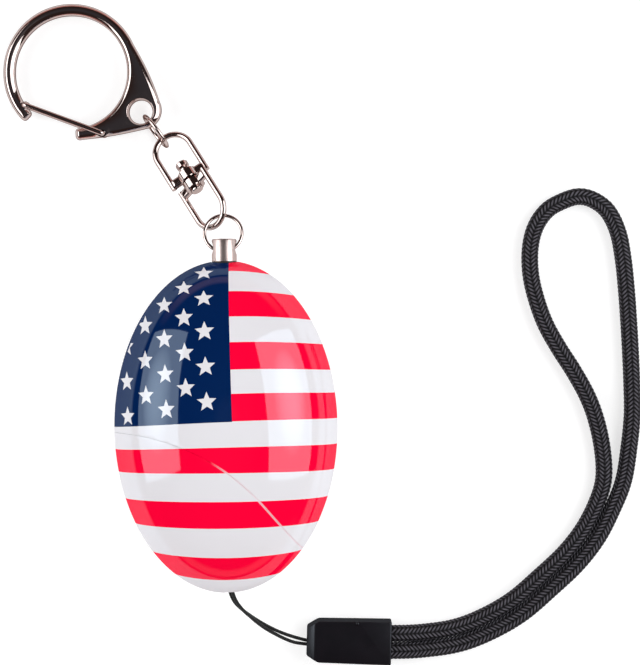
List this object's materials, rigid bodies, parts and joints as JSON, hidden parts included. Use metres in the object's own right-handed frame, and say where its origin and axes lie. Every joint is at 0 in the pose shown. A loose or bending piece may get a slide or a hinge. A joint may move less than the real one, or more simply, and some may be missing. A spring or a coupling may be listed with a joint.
{
  "type": "personal safety alarm",
  "caption": "Egg-shaped keychain siren with a striped flag print: a metal pull pin on a swivel and snap clasp, and a black wrist cord on a thin lanyard string.",
  "frame": {"origin": "on the flat of the back, under the middle of the egg", "axes": "+Y up the egg to the pull pin, +Z out of the printed front, +X to the right seen from the front"},
  "size_m": [0.1302, 0.1358, 0.029],
  "materials": {
    "upper_print": "high gloss, printed with red and pale stripes and white stars on a navy corner",
    "lower_print": "high gloss, printed with red and pale stripes",
    "case_white": "gloss",
    "screw_steel": "satin",
    "bright_plate": "bright nickel plate",
    "seal_rubber": "matte",
    "black_moulding": "satin",
    "plug_plastic": "matte",
    "contact_brass": "bright",
    "board_laminate": "satin",
    "chip_plastic": "matte",
    "inductor_ferrite": "matte",
    "ceramic": "matte",
    "foam_ring": "matte",
    "lead_wire": "satin",
    "cell_steel": "satin",
    "string_fabric": "matte twisted",
    "cord_fabric": "matte herringbone braid"
  },
  "bodies": {
    "case": {"rear_cover": "case_white", "front_upper_cover": "upper_print", "front_lower_cover": "lower_print", "battery_door": "case_white", "door_screw": "screw_steel", "case_screws": "screw_steel", "pin_socket": "black_moulding", "pin_seal": "seal_rubber", "switch_leaf_left": "contact_brass", "switch_leaf_right": "contact_brass", "circuit_board": "board_laminate", "driver_chip": "chip_plastic", "drive_transistor": "chip_plastic", "boost_inductor": "inductor_ferrite", "buzzer_disc": "contact_brass", "buzzer_ceramic": "ceramic", "buzzer_ring": "foam_ring", "buzzer_leads": "lead_wire", "battery_cells": "cell_steel", "battery_plus_contact": "contact_brass", "battery_minus_spring": "contact_brass", "lanyard_bar": "screw_steel", "lanyard_string": "string_fabric", "cord_sleeve": "black_moulding", "wrist_cord": "cord_fabric"},
    "pin": {"pull_pin_cap": "bright_plate", "pull_pin_plug": "plug_plastic"},
    "ring": {"pin_ring": "bright_plate"},
    "swivel_lower": {"swivel_lower_loop": "bright_plate", "swivel_rivet": "bright_plate"},
    "swivel_upper": {"swivel_upper_loop": "bright_plate"},
    "link": {"link_ring": "bright_plate"},
    "clasp": {"clasp_body": "bright_plate"},
    "gate": {"clasp_gate": "bright_plate"}
  },
  "joints": [
    {"name": "pin_pull", "type": "slide", "parent": "case", "child": "pin", "axis": [0, 1, 0], "range_m": [0, 0.016]},
    {"name": "ring_swing", "type": "hinge", "parent": "pin", "child": "ring", "pos_m": [0, 0.0357, 0.014], "axis": [1, 0, 0], "range_deg": [-68, 75]},
    {"name": "swivel_swing", "type": "hinge", "parent": "ring", "child": "swivel_lower", "pos_m": [-0.00119, 0.04075, 0.01265], "axis": [0.6042, 0.5994, 0.525], "range_deg": [-35, 35]},
    {"name": "swivel_spin", "type": "hinge", "parent": "swivel_lower", "child": "swivel_upper", "pos_m": [-0.01229, 0.05872, 0.0049], "axis": [-0.4933, 0.7988, -0.3443], "continuous": true},
    {"name": "link_swing", "type": "hinge", "parent": "swivel_upper", "child": "link", "pos_m": [-0.01283, 0.05833, 0.00492], "axis": [0.7522, 0.6562, -0.0598], "range_deg": [-35, 35]},
    {"name": "clasp_swing", "type": "hinge", "parent": "link", "child": "clasp", "pos_m": [-0.01526, 0.06157, 0.0038], "axis": [0.8, 0.6, 0], "range_deg": [-25, 40]},
    {"name": "gate_open", "type": "hinge", "parent": "clasp", "child": "gate", "pos_m": [-0.02495, 0.05975, 0.00341], "axis": [0.0506, 0, -0.9987], "range_deg": [0, 30], "stiffness_Nm_per_rad": 0.05, "springref_deg": -5.73}
  ]
}
